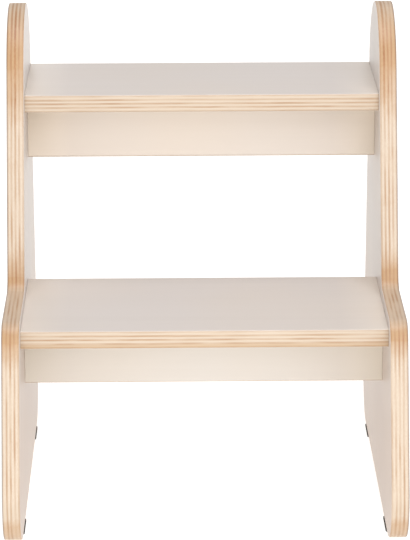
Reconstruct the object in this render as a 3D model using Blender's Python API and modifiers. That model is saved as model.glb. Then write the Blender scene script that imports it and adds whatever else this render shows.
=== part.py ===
"""Two-step plywood stool with arched side panels.

Frame: metres, +Z up, the user climbs on from -Y, the origin is on the floor
at the centre of the stool's footprint.
"""
import math

import bmesh
import bpy
from mathutils import Matrix, Vector

# ---- driving dimensions (metres) ---------------------------------------
WIDTH = 0.400                 # over the outer faces of the side panels
BOARD = 0.018                 # thickness of every plywood board
GAP = 0.0003                  # clearance between touching pieces
PAD_THICKNESS = 0.0020        # foot pad under the side panels

UPPER_TOP = 0.4066            # standing surface of the upper tread
LOWER_TOP = 0.2101            # standing surface of the lower tread
PANEL_TOP = 0.4870            # apex of the arched side panel
LEDGE_TOP = 0.2204            # shelf of the side panel beside the lower tread

FRONT_SLANT = math.radians(18.0)   # both front edges lean forward
BACK_SLANT = math.radians(5.0)     # the back edge leans backward
UPPER_FRONT_Y = 0.0237        # upper front edge at the upper tread top
LOWER_FRONT_Y = -0.1668       # lower front edge at the lower tread top
BACK_Y = 0.1857               # back edge at the upper tread top

LEDGE_INNER_RADIUS = 0.018    # concave fillet at the back of the shelf
LEDGE_OUTER_RADIUS = 0.025    # convex corner at the front of the shelf
FOOT_RADIUS = 0.047           # rounded toe and heel of the side panel
PANEL_ROUND = 0.0012          # softened arris of the side panel

TREAD_ROUND = 0.0016          # softened long edges of the treads
UPPER_TREAD_FRONT = 0.0320
UPPER_TREAD_BACK = 0.1855
LOWER_TREAD_FRONT = -0.1492
LOWER_TREAD_BACK = 0.0355

APRON_HEIGHT = 0.0618
APRON_ROUND = 0.0025          # softened long edges of the aprons
UPPER_APRON_FRONT = 0.0910
LOWER_APRON_FRONT = -0.0696

PAD_LENGTH = 0.040
PAD_WIDTH = 0.0195            # a little wider than the board above it
PAD_CORNER = 0.0024           # radius of the pad's upright corners
PAD_INSET_FRONT = 0.011       # from the ends of the panel's flat bottom
PAD_INSET_BACK = 0.006

SCREW_LENGTH = 0.050
SCREW_HEAD_RADIUS = 0.0050
SCREW_NECK_RADIUS = 0.0035
SCREW_CORE_RADIUS = 0.0027
SCREW_HEAD_DEPTH = 0.0035
SCREW_HEAD_LAND = 0.0006      # upright rim of the head
SCREW_STEP = 0.0010           # taper between the neck and the threaded core
SCREW_TIP = 0.0040
SCREW_POINT_RADIUS = 0.0010
SCREW_SINK = 0.0004           # head below the outer face of the panel
SOCKET_RADIUS = 0.0024        # hex socket, across corners / 2
SOCKET_DEPTH = 0.0026
UPPER_SCREW_SPACING = 0.100   # between the two screws of a tread end
LOWER_SCREW_SPACING = 0.120
APRON_SCREW_HEIGHT = 0.020    # above the lower edge of the apron
APRON_DOWEL_HEIGHT = 0.043

DOWEL_RADIUS = 0.0040
DOWEL_LENGTH = 0.030
DOWEL_CHAMFER = 0.0010
DOWEL_IN_PANEL = 0.011        # depth that a dowel enters a panel or a tread
APRON_DOWEL_X = 0.095         # apron-to-tread dowels, from the middle

ARC_STEP = math.radians(5.0)  # resolution of the panel's curves
ROUND_STEPS = 16              # sides of the turned pieces
SMOOTH_ANGLE = math.radians(35.0)
INNER_HALF = WIDTH / 2 - BOARD
PANEL_BOTTOM = PAD_THICKNESS + GAP
SIDES = (("left", -1), ("right", 1))


# ---- helpers -------------------------------------------------------------
def clear_scene():
    for obj in list(bpy.data.objects):
        bpy.data.objects.remove(obj, do_unlink=True)


def new_collection(name):
    collection = bpy.data.collections.new(name)
    bpy.context.scene.collection.children.link(collection)
    return collection


def principled(name, colour, roughness, metallic=0.0):
    mat = bpy.data.materials.new(name)
    mat.use_nodes = True
    shader = mat.node_tree.nodes["Principled BSDF"]
    shader.inputs["Base Color"].default_value = (*colour, 1.0)
    shader.inputs["Roughness"].default_value = roughness
    shader.inputs["Metallic"].default_value = metallic
    mat.diffuse_color = (*colour, 1.0)
    return mat


def dressed(name, mesh, look):
    """Give a mesh its material and its shading."""
    mesh.materials.clear()
    mesh.materials.append(principled(name, *look))
    mesh.shade_smooth()
    mesh.set_sharp_from_angle(angle=SMOOTH_ANGLE)
    return mesh


def add_part(name, mesh, place=Matrix.Identity(4)):
    """Put a mesh into the stool's collection under the stool's empty."""
    obj = bpy.data.objects.new(name, mesh)
    STOOL.objects.link(obj)
    obj.parent = ROOT
    obj.matrix_world = place
    return obj


def evaluated_mesh(obj):
    """Return the mesh of a construction object and remove the object."""
    obj_eval = obj.evaluated_get(bpy.context.evaluated_depsgraph_get())
    mesh = bpy.data.meshes.new_from_object(obj_eval)
    mesh.transform(obj.matrix_world)
    bpy.data.objects.remove(obj, do_unlink=True)
    return mesh


def grouped(name, *sets):
    """One mesh with a separate copy of each mesh at each of its placements."""
    bm = bmesh.new()
    for mesh, placements in sets:
        for placement in placements:
            first = len(bm.verts)
            bm.from_mesh(mesh)
            bm.verts.ensure_lookup_table()
            bmesh.ops.transform(bm, matrix=placement, verts=bm.verts[first:])
    out = bpy.data.meshes.new(name)
    bm.to_mesh(out)
    bm.free()
    return out


def turned(name, profile):
    """Closed turned body about +Z; the profile runs from the top down."""
    mesh = bpy.data.meshes.new(name)
    points = [(radius, 0.0, z) for radius, z in profile]
    mesh.from_pydata(points, [(i, i + 1) for i in range(len(points) - 1)], [])
    obj = bpy.data.objects.new(name, mesh)
    CUTTERS.objects.link(obj)
    screw = obj.modifiers.new("Turn", "SCREW")
    screw.axis = "Z"
    screw.steps = screw.render_steps = ROUND_STEPS
    screw.use_merge_vertices = True
    screw.merge_threshold = 0.00001
    bpy.context.view_layer.update()
    return evaluated_mesh(obj)


def cut(obj, name, mesh):
    """Subtract a mesh from an object; the cutter stays out of the build."""
    cutter = bpy.data.objects.new(name, mesh)
    CUTTERS.objects.link(cutter)
    cutter.hide_render = True
    cutter.display_type = "WIRE"
    boolean = obj.modifiers.new(name, "BOOLEAN")
    boolean.operation = "DIFFERENCE"
    boolean.solver = "EXACT"
    boolean.object = cutter


def box_mesh(name, low, high):
    """Box between two corners, with its scale already applied."""
    low, high = Vector(low), Vector(high)
    mesh = bpy.data.meshes.new(name)
    bm = bmesh.new()
    bmesh.ops.create_cube(bm, size=1.0)
    size = high - low
    placed = Matrix.Translation((low + high) / 2) @ Matrix.Diagonal((*size, 1.0))
    bmesh.ops.transform(bm, matrix=placed, verts=bm.verts)
    bm.to_mesh(mesh)
    bm.free()
    return mesh


def round_edges(mesh, radius, keep, segments=3):
    """Round the edges whose direction passes the test `keep`."""
    bm = bmesh.new()
    bm.from_mesh(mesh)
    edges = [e for e in bm.edges
             if keep((e.verts[1].co - e.verts[0].co).normalized())]
    bmesh.ops.bevel(bm, geom=edges, offset=radius, offset_type="OFFSET",
                    segments=segments, profile=0.5, affect="EDGES")
    bm.to_mesh(mesh)
    bm.free()


def along_x(direction):
    return abs(direction.x) > 0.9


def towards(side):
    """Rotation that turns +Z to point out of the stool on that side."""
    return Matrix.Rotation(side * math.pi / 2, 4, "Y")


# ---- side panel outline (in the YZ plane) --------------------------------
def upper_front(z):
    return Vector((UPPER_FRONT_Y - math.tan(FRONT_SLANT) * (UPPER_TOP - z), z))


def lower_front(z):
    return Vector((LOWER_FRONT_Y - math.tan(FRONT_SLANT) * (LOWER_TOP - z), z))


def back(z):
    return Vector((BACK_Y + math.tan(BACK_SLANT) * (UPPER_TOP - z), z))


def arc(centre, radius, start, end):
    steps = max(2, math.ceil(abs(end - start) / ARC_STEP))
    angles = [start + (end - start) * i / steps for i in range(steps + 1)]
    return [centre + radius * Vector((math.cos(a), math.sin(a))) for a in angles]


def fillet(before, corner, after, radius):
    """Points of the rounded corner between two straight edges."""
    u, w = (before - corner).normalized(), (after - corner).normalized()
    half = u.angle(w) / 2
    centre = corner + (u + w).normalized() * radius / math.sin(half)
    first = corner + u * radius / math.tan(half) - centre
    last = corner + w * radius / math.tan(half) - centre
    start = math.atan2(first.y, first.x)
    turn = math.atan2(last.y, last.x) - start
    turn = (turn + math.pi) % (2 * math.pi) - math.pi
    return arc(centre, radius, start, start + turn)


def arch():
    """Round top, tangent to the upper front edge and to the back edge."""
    front_run, back_run = 1 / math.cos(FRONT_SLANT), 1 / math.cos(BACK_SLANT)
    spread = math.tan(FRONT_SLANT) + math.tan(BACK_SLANT)
    reach = BACK_Y - UPPER_FRONT_Y + spread * (UPPER_TOP - PANEL_TOP)
    radius = reach / (front_run + back_run - spread)
    z = PANEL_TOP - radius
    centre = Vector((upper_front(z).x + radius * front_run, z))
    return arc(centre, radius, math.pi - FRONT_SLANT, BACK_SLANT)


def panel_outline():
    toe = lower_front(PANEL_BOTTOM)
    heel = back(PANEL_BOTTOM)
    ledge_front = lower_front(LEDGE_TOP)
    ledge_back = upper_front(LEDGE_TOP)
    points = arch()
    points += fillet(back(UPPER_TOP), heel, toe, FOOT_RADIUS)
    points += fillet(heel, toe, ledge_front, FOOT_RADIUS)
    points += fillet(toe, ledge_front, ledge_back, LEDGE_OUTER_RADIUS)
    points += fillet(ledge_front, ledge_back, upper_front(UPPER_TOP),
                     LEDGE_INNER_RADIUS)
    return points


def flat_bottom():
    """Y of the front and back end of the panel's flat bottom edge."""
    low = [p.x for p in panel_outline() if p.y < PANEL_BOTTOM + 1e-6]
    return min(low), max(low)


# ---- where the fasteners go ----------------------------------------------
def apron_middle(front):
    return front + BOARD / 2


def levels():
    """Each level: name, tread top, tread front and back, apron, spacing."""
    return (
        ("upper", UPPER_TOP, UPPER_TREAD_FRONT, UPPER_TREAD_BACK,
         UPPER_APRON_FRONT, UPPER_SCREW_SPACING),
        ("lower", LOWER_TOP, LOWER_TREAD_FRONT, LOWER_TREAD_BACK,
         LOWER_APRON_FRONT, LOWER_SCREW_SPACING),
    )


def apron_bottom(top):
    return top - BOARD - GAP - APRON_HEIGHT


def tread_screw_spots(top, front, rear, spacing):
    middle, z = (front + rear) / 2, top - BOARD / 2
    return [(middle - spacing / 2, z), (middle + spacing / 2, z)]


def apron_screw_spots(top, apron_front):
    return [(apron_middle(apron_front), apron_bottom(top) + APRON_SCREW_HEIGHT)]


def tread_dowel_spots(top, front, rear):
    return [((front + rear) / 2, top - BOARD / 2)]


def apron_dowel_spots(top, apron_front):
    return [(apron_middle(apron_front), apron_bottom(top) + APRON_DOWEL_HEIGHT)]


def screw_places(side, spots):
    """Screw heads sit just under the outer face and point inwards."""
    x = side * (WIDTH / 2 - SCREW_SINK)
    return [Matrix.Translation((x, y, z)) @ towards(side) for y, z in spots]


def end_dowel_places(side, spots):
    """Dowels across the joint between a panel and the end of a board."""
    x = side * (INNER_HALF + DOWEL_IN_PANEL - DOWEL_LENGTH / 2)
    return [Matrix.Translation((x, y, z)) @ towards(side) for y, z in spots]


def tie_dowel_places(top, apron_front):
    """Upright dowels between an apron and the tread above it."""
    z = top - BOARD + DOWEL_IN_PANEL - DOWEL_LENGTH / 2
    y = apron_middle(apron_front)
    return [Matrix.Translation((x, y, z))
            for x in (-APRON_DOWEL_X, APRON_DOWEL_X)]


# ---- fasteners and their holes --------------------------------------------
def screw_profile(extra):
    """Countersunk screw, or its hole when `extra` clearance is added."""
    head, neck = SCREW_HEAD_RADIUS + extra, SCREW_NECK_RADIUS + extra
    core = SCREW_CORE_RADIUS + extra
    shoulder = -(BOARD + GAP - SCREW_SINK)
    top = SCREW_SINK * 2 if extra else 0.0
    return [(0.0, top), (head, top), (head, -SCREW_HEAD_LAND),
            (neck, -SCREW_HEAD_DEPTH - extra), (neck, shoulder),
            (core, shoulder - SCREW_STEP), (core, SCREW_TIP - SCREW_LENGTH),
            (SCREW_POINT_RADIUS, -SCREW_LENGTH - extra), (0.0, -SCREW_LENGTH - extra)]


def screw_mesh():
    mesh = turned("screw_blank", screw_profile(0.0))
    blank = bpy.data.objects.new("screw_blank", mesh)
    CUTTERS.objects.link(blank)
    socket = bpy.data.meshes.new("hex_socket")
    bm = bmesh.new()
    bmesh.ops.create_cone(bm, cap_ends=True, segments=6, radius1=SOCKET_RADIUS,
                          radius2=SOCKET_RADIUS, depth=2 * SOCKET_DEPTH)
    bm.to_mesh(socket)
    bm.free()
    cut(blank, "hex_socket", socket)
    bpy.context.view_layer.update()
    return evaluated_mesh(blank)


def dowel_profile(extra):
    half, radius = DOWEL_LENGTH / 2 + extra, DOWEL_RADIUS + extra
    tip = radius - DOWEL_CHAMFER
    return [(0.0, half), (tip, half), (radius, half - DOWEL_CHAMFER),
            (radius, DOWEL_CHAMFER - half), (tip, -half), (0.0, -half)]


def screw_hole():
    return turned("screw_hole", screw_profile(GAP))


def dowel_hole():
    return turned("dowel_hole", dowel_profile(GAP))


# ---- sub-parts --------------------------------------------------------------
def side_panel(label, side):
    """Arched, stepped plywood side with holes for screws and dowels."""
    curve = bpy.data.curves.new("panel_outline", "CURVE")
    curve.dimensions = "2D"
    curve.fill_mode = "BOTH"
    curve.extrude = BOARD / 2 - PANEL_ROUND
    curve.bevel_depth = PANEL_ROUND
    curve.bevel_resolution = 1
    curve.offset = -PANEL_ROUND
    points = panel_outline()
    spline = curve.splines.new("POLY")
    spline.points.add(len(points) - 1)
    for slot, point in zip(spline.points, points):
        slot.co = (point.x, point.y, 0.0, 1.0)
    spline.use_cyclic_u = True
    guide = bpy.data.objects.new("panel_outline", curve)
    guide.rotation_euler = (math.pi / 2, 0.0, math.pi / 2)
    guide.location = (side * (WIDTH / 2 - BOARD / 2), 0.0, 0.0)
    CUTTERS.objects.link(guide)
    bpy.context.view_layer.update()
    mesh = evaluated_mesh(guide)
    bm = bmesh.new()
    bm.from_mesh(mesh)
    bmesh.ops.remove_doubles(bm, verts=bm.verts, dist=0.00001)
    bm.to_mesh(mesh)
    bm.free()

    name = f"side_panel_{label}"
    panel = add_part(name, dressed(name, mesh, PANEL_LOOK))
    screws, dowels = [], []
    for _, top, front, rear, apron_front, spacing in levels():
        screws += tread_screw_spots(top, front, rear, spacing)
        screws += apron_screw_spots(top, apron_front)
        dowels += tread_dowel_spots(top, front, rear)
        dowels += apron_dowel_spots(top, apron_front)
    cut(panel, f"side_panel_{label}_bores",
        grouped("bores", (screw_hole(), screw_places(side, screws)),
                (dowel_hole(), end_dowel_places(side, dowels))))


def board(name, low, high, radius, look):
    """Board between the side panels, long edges softened."""
    mesh = box_mesh(name, low, high)
    round_edges(mesh, radius, along_x)
    return add_part(name, dressed(name, mesh, look))


def bore(obj, screws, dowels, ties):
    """Screw and dowel holes in both ends of a board, and its tie dowels."""
    screw_holes, dowel_holes = [], list(ties)
    for _, side in SIDES:
        screw_holes += screw_places(side, screws)
        dowel_holes += end_dowel_places(side, dowels)
    cut(obj, f"{obj.name}_bores",
        grouped("bores", (screw_hole(), screw_holes),
                (dowel_hole(), dowel_holes)))


def tread(level, top, front, rear, apron_front, spacing):
    """Horizontal board to stand on."""
    half = INNER_HALF - GAP
    obj = board(f"tread_{level}", (-half, front, top - BOARD),
                (half, rear, top), TREAD_ROUND, TREAD_LOOK)
    bore(obj, tread_screw_spots(top, front, rear, spacing),
         tread_dowel_spots(top, front, rear),
         tie_dowel_places(top, apron_front))


def apron(level, top, front):
    """Upright stiffening board under the middle of a tread."""
    half = INNER_HALF - GAP
    low = apron_bottom(top)
    obj = board(f"apron_{level}", (-half, front, low),
                (half, front + BOARD, low + APRON_HEIGHT), APRON_ROUND,
                APRON_LOOK)
    bore(obj, apron_screw_spots(top, front), apron_dowel_spots(top, front),
         tie_dowel_places(top, front))


def foot_pad(end, label, side, middle_y):
    """Thin soft pad under the flat part of a panel's bottom edge."""
    x = side * (WIDTH / 2 - BOARD / 2)
    name = f"foot_pad_{end}_{label}"
    mesh = box_mesh(name,
                    (x - PAD_WIDTH / 2, middle_y - PAD_LENGTH / 2, 0.0),
                    (x + PAD_WIDTH / 2, middle_y + PAD_LENGTH / 2, PAD_THICKNESS))
    round_edges(mesh, PAD_CORNER, lambda d: abs(d.z) > 0.9, segments=4)
    add_part(name, dressed(name, mesh, PAD_LOOK))


def fasteners():
    """Screws and dowels, named after the joint that they hold."""
    screw = dressed("screw", screw_mesh(), SCREW_LOOK)
    dowel = turned("dowel", dowel_profile(0.0))
    dressed("dowel", dowel, DOWEL_LOOK)
    for level, top, front, rear, apron_front, spacing in levels():
        tread_screws = tread_screw_spots(top, front, rear, spacing)
        apron_screws = apron_screw_spots(top, apron_front)
        tread_dowels = tread_dowel_spots(top, front, rear)
        apron_dowels = apron_dowel_spots(top, apron_front)
        ties = tie_dowel_places(top, apron_front)
        for (label, side), tie in zip(SIDES, ties):
            joint = f"{level}_{label}"
            ends = zip(("front", "back"), screw_places(side, tread_screws))
            for end, place in ends:
                add_part(f"tread_screw_{joint}_{end}", screw, place)
            for place in screw_places(side, apron_screws):
                add_part(f"apron_screw_{joint}", screw, place)
            for place in end_dowel_places(side, tread_dowels):
                add_part(f"tread_dowel_{joint}", dowel, place)
            for place in end_dowel_places(side, apron_dowels):
                add_part(f"apron_dowel_{joint}", dowel, place)
            add_part(f"tie_dowel_{joint}", dowel, tie)


# ---- looks: colour, roughness, metallic -------------------------------------
PANEL_LOOK = ((0.74, 0.68, 0.62), 0.45)
TREAD_LOOK = ((0.72, 0.66, 0.61), 0.45)
APRON_LOOK = ((0.80, 0.74, 0.66), 0.48)
PAD_LOOK = ((0.07, 0.065, 0.06), 0.90)
SCREW_LOOK = ((0.55, 0.54, 0.52), 0.35, 1.0)
DOWEL_LOOK = ((0.66, 0.50, 0.34), 0.60)

clear_scene()
STOOL = new_collection("step_stool")
CUTTERS = new_collection("step_stool_cutters")
ROOT = bpy.data.objects.new("step_stool", None)
STOOL.objects.link(ROOT)

for side_label, side_sign in SIDES:
    side_panel(side_label, side_sign)
for level_name, top_z, front_y, rear_y, apron_y, screw_spacing in levels():
    tread(level_name, top_z, front_y, rear_y, apron_y, screw_spacing)
    apron(level_name, top_z, apron_y)
front_end, back_end = flat_bottom()
pad_rows = (("front", front_end + PAD_INSET_FRONT + PAD_LENGTH / 2),
            ("back", back_end - PAD_INSET_BACK - PAD_LENGTH / 2))
for row, row_y in pad_rows:
    for side_label, side_sign in SIDES:
        foot_pad(row, side_label, side_sign, row_y)
fasteners()
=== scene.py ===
import math
from typing import NamedTuple

import bmesh
import bpy
from mathutils import Matrix, Vector


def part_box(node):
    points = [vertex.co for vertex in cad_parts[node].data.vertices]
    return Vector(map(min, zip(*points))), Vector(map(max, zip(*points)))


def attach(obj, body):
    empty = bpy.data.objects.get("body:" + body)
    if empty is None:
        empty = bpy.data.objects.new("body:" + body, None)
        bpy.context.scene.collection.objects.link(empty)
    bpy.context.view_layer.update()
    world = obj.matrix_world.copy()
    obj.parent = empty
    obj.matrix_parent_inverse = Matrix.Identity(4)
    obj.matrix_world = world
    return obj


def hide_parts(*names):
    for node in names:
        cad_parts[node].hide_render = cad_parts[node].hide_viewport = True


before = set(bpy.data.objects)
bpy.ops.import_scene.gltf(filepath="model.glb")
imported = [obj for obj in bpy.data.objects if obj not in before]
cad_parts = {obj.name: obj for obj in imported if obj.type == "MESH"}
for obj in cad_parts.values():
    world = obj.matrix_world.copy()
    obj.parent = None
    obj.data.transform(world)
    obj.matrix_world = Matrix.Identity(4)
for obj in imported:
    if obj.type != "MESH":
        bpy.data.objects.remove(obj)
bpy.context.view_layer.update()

# ---- the stool's dimensions, as in the CAD (metres) --------------------------
WIDTH = 0.400
BOARD = 0.018
UPPER_TOP, LOWER_TOP = 0.4066, 0.2101
PANEL_TOP, LEDGE_TOP, PANEL_BOTTOM = 0.4870, 0.2204, 0.0023
FRONT_SLANT, BACK_SLANT = math.radians(18.0), math.radians(5.0)
UPPER_FRONT_Y, LOWER_FRONT_Y, BACK_Y = 0.0237, -0.1668, 0.1857
LEDGE_INNER_RADIUS, LEDGE_OUTER_RADIUS, FOOT_RADIUS = 0.018, 0.025, 0.047
INNER_HALF = WIDTH / 2 - BOARD
PANEL_MIDDLE = WIDTH / 2 - BOARD / 2
SIDES = (("left", -1), ("right", 1))

# ---- fine shape (metres) -----------------------------------------------------
PANEL_ROUND = 0.0013          # rounded edge of a side panel
TREAD_ROUND = (0.0016, 0.0002)            # at the long edges, at the ends
APRON_ROUND = (0.0025, 0.0003)
END_CLEARANCE = 0.00005       # between a board's end and the panel
ARC_STEP = math.radians(1.5)
SINK_RIM, SINK_FLOOR = 0.0055, 0.0038     # radii of a countersink
SINK_DEPTH, SINK_PROUD = 0.0042, 0.00005  # of its cutter, and how far that stands out
SINK_SIDES = 48

# ---- plywood -----------------------------------------------------------------
PLY = 0.00198                 # thickness of one ply
WANDER = 0.0010               # how far the plies wander across the thickness
LAMINATE = 0.0004             # thickness of the facing
UNDER_LAMINATE = 0.0010       # depth of the dark joint under the facing
FACE = (0.645, 0.592, 0.553)
FACE_WARM = (0.655, 0.590, 0.535)
FACE_GRAIN = (0.50, 0.44, 0.39)
SIDE_GRAIN = (0.64, 0.54, 0.43)       # plies whose fibres run along the edge
SIDE_GRAIN_DEEP = (0.60, 0.485, 0.37)
END_GRAIN = (0.52, 0.37, 0.255)       # plies cut across their fibres
END_GRAIN_DEEP = (0.43, 0.26, 0.15)
GLUE_AND_GAP_SHADOW = (0.30, 0.175, 0.095)           # glue lines and dark joints, and painted shadow in the gap where a board meets a panel
SOAKED_TINT = (0.795, 0.61, 0.42)     # finish soaked into the cut ends
UNDERSIDE_TINT = (0.86, 0.74, 0.60)   # darker bottom ply
PAINTED_LOW_SHADE_TINT = (0.91, 0.82, 0.76)        # painted shade: inner facing darker and warmer toward the floor
PAINTED_BOUNCE_TINT = (1.13, 1.13, 1.09)        # painted light: facing lighter near the ends of a board, as if lit by the panels
RIM_EDGE_AND_SHADE_TINT = (0.66, 0.66, 0.73)         # outer rim of a side panel: grey edge of the facing, with painted shade on the rounded edge
STREAK_TINT = (0.87, 0.72, 0.57)      # brown streak in the arch
TURN_FROM, TURN_TO = 0.32, 0.64       # how end grain takes over from side grain
DRIFT = 0.30                          # how uneven that change is
STAIN = 0.30                          # how strongly the finish runs past a curve

# the two ends of each tone's fade (metres)
STAIN_UNDER_ARCH = (0.435, 0.375)     # height
STAIN_OVER_FLOOR = (0.020, 0.050)     # height
STAIN_BESIDE_SHELF = (0.014, 0.042)   # above or below the shelf
FEET = (0.03, 0.12)                   # height
PAINTED_LOW_SHADE_HEIGHT = (0.10, 0.26)                   # height
STREAK = (0.376, 0.402)               # height
STREAK_EDGE = (0.0004, 0.0017)        # off the streak's middle
PLY_FADE = (0.003, 0.0078)            # off the board's middle
BOTTOM_PLY = (-0.0052, -0.0044)       # off the board's middle, downwards
INNER_SKIN = (0.0080, 0.0086)         # off the panel's middle, inwards
OUTER_RIM = (0.0074, 0.0081)          # off the panel's middle, outwards
PAINTED_BOUNCE_END = (INNER_HALF - 0.045, INNER_HALF)                  # off the stool's middle
JOINT_AND_GAP_SHADOW = (INNER_HALF - 0.0006, INNER_HALF - 0.0002)      # off the stool's middle
GLUE_BLUR = 0.0006                    # half the width of the dark joint under the facing

# ---- camera and light --------------------------------------------------------
CAMERA_AT = Vector((-0.0344, -2.97087, 1.1059))
CAMERA_PITCH, CAMERA_YAW, CAMERA_ROLL = 16.45, 0.71, -0.17     # degrees
CAMERA_LENS, CAMERA_SENSOR = 263.4146, 36.0                    # millimetres
WORLD = (0.54, 0.54, 0.54)
FLOOR_PAPER = (0.32, 0.32, 0.32)
FLOOR_GLOW = (0.92, 0.90, 0.87)
FLOOR_SIZE = 30.0
# name, position, target, width and height, watts of red, green and blue
LIGHTS = (
    ("key", (0.9, -3.2, 2.4), (0, 0, 0.3), (2.2, 2.2), (42, 43, 46)),
    ("top", (0.0, -0.3, 2.8), (0, 0, 0.3), (1.2, 1.2), (29, 30, 32)),
    ("back", (1.7, 2.3, 0.30), (0, 0, 0.25), (1.8, 0.5), (8, 8, 8)),
    ("back_left", (-1.2, 2.6, 0.55), (0, 0, 0.25), (1.8, 0.5), (4, 4, 4)),
    ("front_low", (-0.15, -2.4, 0.35), (0, 0, 0.25), (1.8, 0.6), (18, 16.8, 15)),
)


# ---- node trees --------------------------------------------------------------
class Nodes:
    """Short-hand for building a material's node tree."""

    def __init__(self, name):
        self.mat = bpy.data.materials.new(name)
        self.mat.use_nodes = True
        self.tree = self.mat.node_tree
        self.tree.nodes.clear()
        self.out = self.tree.nodes.new("ShaderNodeOutputMaterial")
        self.bsdf = self.tree.nodes.new("ShaderNodeBsdfPrincipled")
        self.link(self.bsdf.outputs[0], self.out.inputs[0])

    def link(self, a, b):
        self.tree.links.new(a, b)

    def put(self, socket, value):
        if isinstance(value, bpy.types.NodeSocket):
            self.link(value, socket)
        else:
            socket.default_value = value

    def math(self, op, a, b=None, c=None):
        node = self.tree.nodes.new("ShaderNodeMath")
        node.operation = op
        for i, v in enumerate((a, b, c)):
            if v is not None:
                self.put(node.inputs[i], v)
        return node.outputs[0]

    def coords(self, kind="Object"):
        return self.tree.nodes.new("ShaderNodeTexCoord").outputs[kind]

    def split(self, vector):
        node = self.tree.nodes.new("ShaderNodeSeparateXYZ")
        self.link(vector, node.inputs[0])
        return node.outputs

    def noise(self, vector, scale=1.0, detail=2.0, rough=0.5, distort=0.0):
        node = self.tree.nodes.new("ShaderNodeTexNoise")
        self.link(vector, node.inputs["Vector"])
        node.inputs["Scale"].default_value = scale
        node.inputs["Detail"].default_value = detail
        node.inputs["Roughness"].default_value = rough
        node.inputs["Distortion"].default_value = distort
        return node.outputs[0]

    def stretch(self, vector, scale=(1, 1, 1), offset=(0, 0, 0)):
        node = self.tree.nodes.new("ShaderNodeMapping")
        self.link(vector, node.inputs["Vector"])
        node.inputs["Scale"].default_value = scale
        node.inputs["Location"].default_value = offset
        return node.outputs[0]

    def ramp(self, value, low, high):
        """Colour ramp between two stops, each a position and a colour."""
        node = self.tree.nodes.new("ShaderNodeValToRGB")
        self.link(value, node.inputs[0])
        for stop, (position, colour) in zip(node.color_ramp.elements, (low, high)):
            stop.position = position
            stop.color = (*colour, 1.0)
        return node.outputs[0]

    def mix(self, amount, a, b, mode="MIX"):
        node = self.tree.nodes.new("ShaderNodeMix")
        node.data_type = "RGBA"
        node.blend_type = mode
        self.put(node.inputs[0], amount)
        for socket, colour in ((node.inputs[6], a), (node.inputs[7], b)):
            self.put(socket, colour if isinstance(colour, bpy.types.NodeSocket) else (*colour, 1.0))
        return node.outputs[2]

    def tinted(self, amount, colour, tint):
        return self.mix(amount, colour, self.mix(1.0, colour, tint, "MULTIPLY"))

    def span(self, value, lo, hi, to_lo=0.0, to_hi=1.0):
        """Map the range lo to hi onto to_lo to to_hi, and clamp."""
        node = self.tree.nodes.new("ShaderNodeMapRange")
        node.clamp = True
        self.put(node.inputs[0], value)
        for i, v in enumerate((lo, hi, to_lo, to_hi)):
            node.inputs[i + 1].default_value = v
        return node.outputs[0]

    def bump(self, height, strength, distance):
        node = self.tree.nodes.new("ShaderNodeBump")
        node.inputs["Strength"].default_value = strength
        node.inputs["Distance"].default_value = distance
        self.link(height, node.inputs["Height"])
        self.link(node.outputs[0], self.bsdf.inputs["Normal"])


# ---- plywood -----------------------------------------------------------------
class Board(NamedTuple):
    """Which way a plywood board lies, its own tone, and a tint that paints how brightly it is lit."""

    axis: int                     # axis across its thickness
    middle: float                 # its mid plane on that axis
    along: int                    # axis that the fibres of its outer plies follow
    seed: float                   # shifts the patterns
    # painted light: brightens or tints the facing by how strongly this board is lit
    tint: tuple = (1.0, 1.0, 1.0)
    underside: float = 0.0        # strength of the darker bottom ply
    patchy: tuple = (0.40, 0.92)  # weakest and strongest dark ply
    streak: float = 0.0           # where the brown streak of the arch is, off the middle

    @property
    def upright(self):
        """True for a side panel, whose fibres run up."""
        return self.along == 2

    @property
    def outward(self):
        return 1.0 if self.middle > 0 else -1.0

    def scale(self, axis, across, on_axis):
        """Pattern scale that is different on one axis."""
        out = [across] * 3
        out[axis] = on_axis
        return out


class Across:
    """Sockets that say where in a board's thickness a point is."""

    def __init__(self, n, board):
        self.pos = n.coords()
        self.xyz = n.split(self.pos)
        self.normal = n.split(n.coords("Normal"))
        self.depth_axis = n.math("SUBTRACT", self.xyz[board.axis], board.middle)
        self.off_middle = n.math("ABSOLUTE", self.depth_axis)
        self.depth = n.math("SUBTRACT", BOARD / 2, self.off_middle)
        # the plies wander a little along the board and differ in thickness
        wander = n.noise(n.stretch(self.pos, offset=(board.seed,) * 3), scale=7.0)
        shift = n.math("MULTIPLY", n.math("SUBTRACT", wander, 0.5), WANDER)
        self.wandering = n.math("ADD", self.depth_axis, shift)
        turns = n.math("MULTIPLY", n.math("DIVIDE", self.wandering, PLY), math.pi)
        self.wave = n.math("MULTIPLY_ADD", n.math("COSINE", turns), 0.5, 0.5)
        self.faced = n.span(self.depth, LAMINATE * 0.8, LAMINATE * 1.2, 1.0, 0.0)


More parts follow.
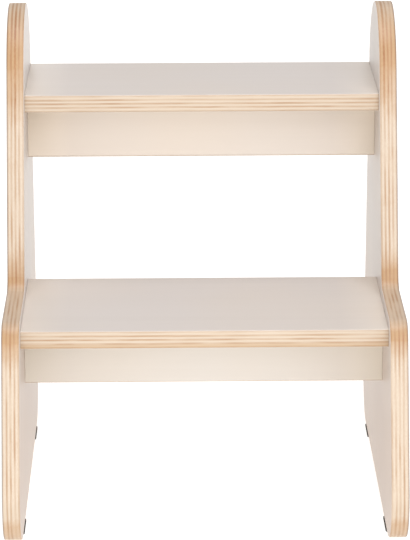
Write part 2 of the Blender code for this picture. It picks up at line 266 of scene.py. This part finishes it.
def cut_ends(n, board, at):
    """How far an edge shows end grain, and how much finish has soaked into it, less where the cut face
    looks along the fibres, which is a painted reflection of the pale sky.
    """
    moved = n.stretch(at.pos, offset=(0, board.seed * 2.3, board.seed))
    drift = n.noise(moved, scale=34.0, detail=3.0, rough=0.6)
    lengthwise = n.math("ABSOLUTE", at.normal[board.along])
    loose = n.math("MULTIPLY_ADD", n.math("SUBTRACT", drift, 0.5), DRIFT, lengthwise)
    if board.upright:   # the stain runs on a little way past each curve of the panel
        beside_shelf = n.math("ABSOLUTE", n.math("SUBTRACT", at.xyz[2], LEDGE_TOP))
        for height, (near, far) in ((at.xyz[2], STAIN_UNDER_ARCH), (beside_shelf, STAIN_BESIDE_SHELF),
                                    (at.xyz[2], STAIN_OVER_FLOOR)):
            loose = n.math("ADD", loose, n.span(height, near, far, STAIN, 0.0))
    turned = n.span(loose, TURN_FROM, TURN_TO)
    # painted reflection: the soaked tint fades where the cut face looks along the fibres, as on the flat
    # ledge
    soak_and_painted_sheen = n.math("MULTIPLY", turned, n.span(lengthwise, 0.75, 0.98, 1.0, 0.35))
    if board.upright:   # the feet took up less of it
        soak_and_painted_sheen = n.math("MULTIPLY", soak_and_painted_sheen, n.span(at.xyz[2], *FEET, 0.55, 1.0))
    return turned, soak_and_painted_sheen


def fibre_noise(n, board, at):
    """Fine streaks along the board."""
    return n.noise(n.stretch(at.pos, board.scale(board.along, 1100.0, 22.0)), detail=3.0, rough=0.6)


def pore_noise(n, at):
    return n.noise(at.pos, scale=2400.0, rough=0.65)


def brown_streak(n, board, at, wood):
    """Brown streak in one ply of the arch, with a fainter one two plies outward."""
    run = n.noise(n.stretch(at.pos, board.scale(board.along, 500.0, 45.0)), rough=0.6)
    tall = n.math("MULTIPLY", n.span(at.xyz[2], *STREAK), n.span(run, 0.35, 0.60, 0.45, 1.0))
    for shift, amount in ((0.0, 1.0), (2 * PLY * board.outward, 0.45)):
        off = n.math("ABSOLUTE", n.math("SUBTRACT", at.wandering, board.streak + shift))
        narrow = n.span(off, *STREAK_EDGE, amount, 0.0)
        wood = n.tinted(n.math("MULTIPLY", narrow, tall), wood, STREAK_TINT)
    return wood


def bare_plies(n, board, at, fibres, pores):
    """Light and dark plies, with the glue lines between them."""
    turned, soak_and_painted_sheen = cut_ends(n, board, at)
    patch = n.noise(n.stretch(at.pos, offset=(board.seed * 3.1, 0, board.seed)),
                    scale=22.0, detail=3.0, rough=0.62)
    tone = n.noise(n.stretch(at.pos, board.scale(board.axis, 40.0, 480.0), (board.seed, 0, 0)),
                   scale=0.55, rough=0.55)
    light = n.mix(n.span(fibres, 0.36, 0.68), SIDE_GRAIN, SIDE_GRAIN_DEEP)
    deep = n.math("ADD", n.math("MULTIPLY", tone, 0.7), n.math("MULTIPLY", pores, 0.3))
    dark = n.mix(n.span(deep, 0.42, 0.60), END_GRAIN, END_GRAIN_DEEP)
    uneven = n.math("ADD", n.math("MULTIPLY", patch, 0.4), n.math("MULTIPLY", tone, 0.6))
    strength = n.math("MULTIPLY", n.span(uneven, 0.38, 0.60, *board.patchy),
                      n.span(at.off_middle, *PLY_FADE, 1.10, 0.60))
    end = n.math("MAXIMUM", n.span(at.wave, 0.46, 0.80), n.math("MULTIPLY", turned, 0.17))
    wood = n.mix(n.math("MULTIPLY", end, strength), light, dark)
    seam = n.span(n.math("ABSOLUTE", n.math("SUBTRACT", at.wave, 0.50)), 0.0, 0.18, 1.0, 0.0)
    wood = n.mix(n.math("MULTIPLY", seam, n.span(tone, 0.40, 0.66, 0.06, 0.42)), wood, GLUE_AND_GAP_SHADOW)
    wood = n.tinted(soak_and_painted_sheen, wood, SOAKED_TINT)
    if board.upright:
        wood = brown_streak(n, board, at, wood)
    if board.underside:
        wood = n.tinted(n.span(at.wandering, *BOTTOM_PLY, board.underside, 0.0), wood, UNDERSIDE_TINT)
    off_joint = n.math("ABSOLUTE", n.math("SUBTRACT", at.depth, UNDER_LAMINATE))
    return n.mix(n.span(off_joint, 0.0, GLUE_BLUR, 0.12, 0.0), wood, GLUE_AND_GAP_SHADOW)


def facing_grain(n, board, at):
    return n.noise(n.stretch(at.pos, board.scale(board.along, 60.0, 2.0)),
                   detail=4.0, rough=0.6, distort=0.6)


def facing(n, board, at, grain):
    """Grey-white facing, with soft patches and a faint grain."""
    mottle = n.noise(n.stretch(at.pos, offset=(board.seed, 0, 0)), scale=5.0)
    face = n.mix(n.span(mottle, 0.35, 0.65), FACE, FACE_WARM)
    face = n.mix(n.span(grain, 0.42, 0.75, 0.0, 0.11), face, FACE_GRAIN)
    # painted light: the board's tint, for how strongly it is lit
    face = n.mix(1.0, face, board.tint, "MULTIPLY")
    if board.upright:   # painted shade and warm bounce light: the inner facing darker and warmer toward the floor
        inner = n.span(n.math("MULTIPLY", at.depth_axis, -board.outward), *INNER_SKIN)
        low = n.math("MULTIPLY", n.span(at.xyz[2], *PAINTED_LOW_SHADE_HEIGHT, 1.0, 0.0), inner)
        return n.tinted(low, face, PAINTED_LOW_SHADE_TINT)
    # painted light: lighter toward the panels, as if lit by them; then a dark line where the board meets
    # them, partly the joint and partly painted shadow in the gap
    off_centre = n.math("ABSOLUTE", at.xyz[0])
    face = n.tinted(n.span(off_centre, *PAINTED_BOUNCE_END), face, PAINTED_BOUNCE_TINT)
    # painted shadow: dark line in the gap at the board's end, partly the exposed joint
    return n.mix(n.span(off_centre, *JOINT_AND_GAP_SHADOW, 0.0, 0.12), face, GLUE_AND_GAP_SHADOW)


def rim_edge_and_shade(n, board, at, colour):
    """Outer rim of a side panel: the grey edge of the facing, with painted shade on its rounded edge."""
    outer = n.span(n.math("MULTIPLY", at.depth_axis, board.outward), *OUTER_RIM)
    off_face = n.span(n.math("ABSOLUTE", at.normal[0]), 0.80, 0.97, 1.0, 0.0)
    return n.tinted(n.math("MULTIPLY", outer, off_face), colour, RIM_EDGE_AND_SHADE_TINT)


def plywood(name, board):
    """Birch plywood with a facing on both sides and bare plies on its edges."""
    n = Nodes(name)
    at = Across(n, board)
    fibres, pores = fibre_noise(n, board, at), pore_noise(n, at)
    grain = facing_grain(n, board, at)
    colour = n.mix(at.faced, bare_plies(n, board, at, fibres, pores), facing(n, board, at, grain))
    if board.upright:
        # painted shade on the outer rounded edge, with the facing's grey edge
        colour = rim_edge_and_shade(n, board, at, colour)
    n.link(colour, n.bsdf.inputs["Base Color"])
    gloss = n.math("ADD", at.faced, n.math("MULTIPLY", pores, 0.3))
    n.link(n.span(gloss, 0.1, 1.2, 0.42, 0.38), n.bsdf.inputs["Roughness"])
    ridges = n.math("MULTIPLY", n.math("SUBTRACT", 1.0, at.faced),
                    n.math("MULTIPLY_ADD", at.wave, -0.5, fibres))
    n.bump(n.math("ADD", ridges, n.math("MULTIPLY", grain, 0.10)), 0.30, 0.00025)
    n.bsdf.inputs["Specular IOR Level"].default_value = 0.5
    return n.mat


# ---- other materials ---------------------------------------------------------
def rubber(name):
    n = Nodes(name)
    speck = n.noise(n.coords(), scale=900.0, detail=3.0, rough=0.7)
    n.link(n.ramp(speck, (0.3, (0.045, 0.042, 0.040)), (0.7, (0.085, 0.078, 0.072))),
           n.bsdf.inputs["Base Color"])
    n.bsdf.inputs["Roughness"].default_value = 0.85
    n.bump(speck, 0.4, 0.0003)
    return n.mat


def steel(name):
    n = Nodes(name)
    scratch = n.noise(n.stretch(n.coords(), (300, 3000, 3000)), detail=3.0, rough=0.6)
    n.link(n.ramp(scratch, (0.3, (0.46, 0.455, 0.44)), (0.7, (0.62, 0.61, 0.59))),
           n.bsdf.inputs["Base Color"])
    n.bsdf.inputs["Metallic"].default_value = 1.0
    n.link(n.span(scratch, 0.3, 0.7, 0.28, 0.42), n.bsdf.inputs["Roughness"])
    n.bump(scratch, 0.15, 0.0001)
    return n.mat


def dowel_wood(name):
    n = Nodes(name)
    grain = n.noise(n.stretch(n.coords(), (80, 900, 900)), detail=3.0, rough=0.6)
    n.link(n.ramp(grain, (0.3, SIDE_GRAIN), (0.7, END_GRAIN)), n.bsdf.inputs["Base Color"])
    n.bsdf.inputs["Roughness"].default_value = 0.7
    n.bump(grain, 0.3, 0.0002)
    return n.mat


# ---- side panel outline (in the YZ plane) ------------------------------------
def upper_front(z):
    return Vector((UPPER_FRONT_Y - math.tan(FRONT_SLANT) * (UPPER_TOP - z), z))


def lower_front(z):
    return Vector((LOWER_FRONT_Y - math.tan(FRONT_SLANT) * (LOWER_TOP - z), z))


def back(z):
    return Vector((BACK_Y + math.tan(BACK_SLANT) * (UPPER_TOP - z), z))


def arc(centre, radius, start, end):
    steps = max(3, math.ceil(abs(end - start) / ARC_STEP))
    angles = [start + (end - start) * i / steps for i in range(steps + 1)]
    return [centre + radius * Vector((math.cos(a), math.sin(a))) for a in angles]


def fillet(before, corner, after, radius):
    """Points of the rounded corner between two straight edges."""
    u, w = (before - corner).normalized(), (after - corner).normalized()
    half = u.angle(w) / 2
    centre = corner + (u + w).normalized() * radius / math.sin(half)
    first = corner + u * radius / math.tan(half) - centre
    last = corner + w * radius / math.tan(half) - centre
    start = math.atan2(first.y, first.x)
    turn = math.atan2(last.y, last.x) - start
    turn = (turn + math.pi) % (2 * math.pi) - math.pi
    return arc(centre, radius, start, start + turn)


def arch():
    """Round top, tangent to the upper front edge and to the back edge."""
    front_run, back_run = 1 / math.cos(FRONT_SLANT), 1 / math.cos(BACK_SLANT)
    spread = math.tan(FRONT_SLANT) + math.tan(BACK_SLANT)
    reach = BACK_Y - UPPER_FRONT_Y + spread * (UPPER_TOP - PANEL_TOP)
    radius = reach / (front_run + back_run - spread)
    z = PANEL_TOP - radius
    centre = Vector((upper_front(z).x + radius * front_run, z))
    return arc(centre, radius, math.pi - FRONT_SLANT, BACK_SLANT)


def panel_outline():
    toe, heel = lower_front(PANEL_BOTTOM), back(PANEL_BOTTOM)
    ledge_front, ledge_back = lower_front(LEDGE_TOP), upper_front(LEDGE_TOP)
    points = arch()
    points += fillet(back(UPPER_TOP), heel, toe, FOOT_RADIUS)
    points += fillet(heel, toe, ledge_front, FOOT_RADIUS)
    points += fillet(toe, ledge_front, ledge_back, LEDGE_OUTER_RADIUS)
    points += fillet(ledge_front, ledge_back, upper_front(UPPER_TOP), LEDGE_INNER_RADIUS)
    return points


# ---- pieces ------------------------------------------------------------------
def add_object(name, data):
    obj = bpy.data.objects.new(name, data)
    bpy.context.scene.collection.objects.link(obj)
    return obj


def dress(obj, mat, smooth_degrees):
    obj.data.materials.clear()
    obj.data.materials.append(mat)
    obj.data.shade_smooth()
    obj.data.set_sharp_from_angle(angle=math.radians(smooth_degrees))


def hand_over(obj, node):
    """Attach the surface to the root body and hide the CAD node that it replaces."""
    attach(obj, "root")
    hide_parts(node)


def outline_curve(points):
    """Filled, extruded outline with rounded edges."""
    curve = bpy.data.curves.new("outline", "CURVE")
    curve.dimensions = "2D"
    curve.fill_mode = "BOTH"
    curve.extrude = BOARD / 2 - PANEL_ROUND
    curve.bevel_depth = PANEL_ROUND
    curve.bevel_resolution = 3
    curve.offset = -PANEL_ROUND
    spline = curve.splines.new("POLY")
    spline.points.add(len(points) - 1)
    for slot, point in zip(spline.points, points):
        slot.co = (point.x, point.y, 0.0, 1.0)
    spline.use_cyclic_u = True
    return curve


def panel_mesh(side):
    guide = add_object("outline", outline_curve(panel_outline()))
    guide.rotation_euler = (math.pi / 2, 0.0, math.pi / 2)
    guide.location = (side * PANEL_MIDDLE, 0.0, 0.0)
    bpy.context.view_layer.update()
    shaped = guide.evaluated_get(bpy.context.evaluated_depsgraph_get())
    mesh = bpy.data.meshes.new_from_object(shaped)
    mesh.transform(guide.matrix_world)
    bpy.data.objects.remove(guide, do_unlink=True)
    bm = bmesh.new()
    bm.from_mesh(mesh)
    bmesh.ops.remove_doubles(bm, verts=bm.verts, dist=0.00001)
    bm.to_mesh(mesh)
    bm.free()
    return mesh


def countersink(panel, side, screw_node):
    """Cut the seat of one screw head into the panel's outer face."""
    low, high = (Vector(corner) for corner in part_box(screw_node))
    middle = (low + high) / 2
    bpy.ops.mesh.primitive_cone_add(
        vertices=SINK_SIDES, radius1=SINK_FLOOR, radius2=SINK_RIM, depth=SINK_DEPTH,
        location=(side * (WIDTH / 2 - SINK_DEPTH / 2 + SINK_PROUD), middle.y, middle.z),
        rotation=(0, side * math.pi / 2, 0))
    cutter = bpy.context.active_object
    boolean = panel.modifiers.new("sink", "BOOLEAN")
    boolean.object = cutter
    boolean.solver = "EXACT"
    bpy.context.view_layer.objects.active = panel
    bpy.ops.object.modifier_apply(modifier=boolean.name)
    bpy.data.objects.remove(cutter, do_unlink=True)


def side_panel(label, side, mat):
    panel = add_object(f"panel_{label}_surface", panel_mesh(side))
    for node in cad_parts:
        if "screw" in node and f"_{label}" in node:
            countersink(panel, side, node)
    dress(panel, mat, 30.0)
    hand_over(panel, f"side_panel_{label}")


def bevel(bm, edges, radius, segments):
    bmesh.ops.bevel(bm, geom=edges, offset=radius, offset_type="OFFSET",
                    segments=segments, profile=0.5, affect="EDGES")


def board_mesh(name, low, high, rounding):
    """Board with rounded long edges and barely broken ends."""
    long_round, end_round = rounding
    mesh = bpy.data.meshes.new(name)
    bm = bmesh.new()
    bmesh.ops.create_cube(bm, size=1.0)
    placed = Matrix.Translation((low + high) / 2) @ Matrix.Diagonal((*(high - low), 1.0))
    bmesh.ops.transform(bm, verts=bm.verts, matrix=placed)
    bevel(bm, [e for e in bm.edges
               if abs((e.verts[1].co - e.verts[0].co).normalized().x) > 0.9], long_round, 6)
    bevel(bm, [e for e in bm.edges
               if all(abs(abs(v.co.x) - high.x) < 1e-6 for v in e.verts)], end_round, 2)
    bm.to_mesh(mesh)
    bm.free()
    return mesh


def crosswise_board(node, mat, rounding):
    """Tread or apron that reaches up against both panels."""
    low, high = (Vector(corner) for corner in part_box(node))
    low.x, high.x = -INNER_HALF + END_CLEARANCE, INNER_HALF - END_CLEARANCE
    name = f"{node}_surface"
    obj = add_object(name, board_mesh(name, low, high, rounding))
    dress(obj, mat, 25.0)
    hand_over(obj, node)


def panels():
    for (label, side), seed, streak in zip(SIDES, (1.7, 5.3), (0.0, -2 * PLY)):
        ply = Board(0, side * PANEL_MIDDLE, 2, seed, streak=streak)
        side_panel(label, side, plywood(f"laminated_ply_panel_{label}", ply))


def treads():
    for level, top, seed, underside in (("upper", UPPER_TOP, 2.9, 0.0), ("lower", LOWER_TOP, 7.7, 0.8)):
        # the tint is painted light, for how brightly this tread is lit
        ply = Board(2, top - BOARD / 2, 0, seed, (1.0, 0.98, 0.96), underside, (0.50, 0.80))
        mat = plywood(f"laminated_ply_tread_{level}", ply)
        crosswise_board(f"tread_{level}", mat, TREAD_ROUND)


def aprons():
    # the tints are painted light, for how brightly each apron is lit
    for level, seed, tint in (("upper", 4.1, (1.12, 1.11, 1.08)), ("lower", 9.3, (1.04, 1.07, 1.07))):
        low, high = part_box(f"apron_{level}")
        ply = Board(1, (low[1] + high[1]) / 2, 0, seed, tint)
        mat = plywood(f"laminated_ply_apron_{level}", ply)
        crosswise_board(f"apron_{level}", mat, APRON_ROUND)


def small_pieces():
    """Pads, screws and dowels keep their CAD shapes."""
    mats = {"pad": rubber("pad_rubber"), "screw": steel("zinc_steel"), "dowel": dowel_wood("dowel_wood")}
    for node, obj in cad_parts.items():
        for kind, mat in mats.items():
            if kind in node:
                dress(obj, mat, 35.0)


# ---- camera and studio -------------------------------------------------------
def camera():
    data = bpy.data.cameras.new("camera")
    data.sensor_fit = "HORIZONTAL"
    data.sensor_width = CAMERA_SENSOR
    data.lens = CAMERA_LENS
    data.clip_end = 50.0
    pitch, yaw, roll = (math.radians(a) for a in (CAMERA_PITCH, CAMERA_YAW, CAMERA_ROLL))
    forward = Vector((math.sin(yaw) * math.cos(pitch), math.cos(yaw) * math.cos(pitch), -math.sin(pitch)))
    level = Vector((math.cos(yaw), -math.sin(yaw), 0.0))
    upright = level.cross(forward)
    right = math.cos(roll) * level + math.sin(roll) * upright
    up = -math.sin(roll) * level + math.cos(roll) * upright
    turn = Matrix((right, up, -forward)).transposed().to_4x4()
    obj = add_object("camera", data)
    obj.matrix_world = Matrix.Translation(CAMERA_AT) @ turn
    bpy.context.scene.camera = obj


def strength_and_colour(rgb):
    strength = max(rgb)
    return strength, tuple(v / strength for v in rgb)


def area_light(name, at, target, size, watts):
    data = bpy.data.lights.new(name, "AREA")
    data.shape = "RECTANGLE"
    data.size, data.size_y = size
    data.energy, data.color = strength_and_colour(watts)
    obj = add_object(name, data)
    obj.location = at
    obj.rotation_euler = (Vector(target) - Vector(at)).to_track_quat("-Z", "Y").to_euler()
    obj.visible_camera = False


def paper_floor():
    """Pale floor that glows a little, so that it fades into the background."""
    bpy.ops.mesh.primitive_plane_add(size=FLOOR_SIZE, location=(0, 0, 0))
    floor = bpy.context.active_object
    floor.name = "floor"
    n = Nodes("floor_paper")
    n.bsdf.inputs["Base Color"].default_value = (*FLOOR_PAPER, 1)
    n.bsdf.inputs["Roughness"].default_value = 0.9
    strength, colour = strength_and_colour(FLOOR_GLOW)
    n.bsdf.inputs["Emission Color"].default_value = (*colour, 1)
    n.bsdf.inputs["Emission Strength"].default_value = strength
    floor.data.materials.append(n.mat)


def studio():
    paper_floor()
    scene = bpy.context.scene
    scene.world = bpy.data.worlds.new("studio")
    scene.world.use_nodes = True
    background = scene.world.node_tree.nodes["Background"]
    strength, colour = strength_and_colour(WORLD)
    background.inputs[0].default_value = (*colour, 1)
    background.inputs[1].default_value = strength
    scene.view_settings.view_transform = "Standard"
    scene.view_settings.look = "None"
    for light in LIGHTS:
        area_light(*light)


camera()
studio()
panels()
treads()
aprons()
small_pieces()
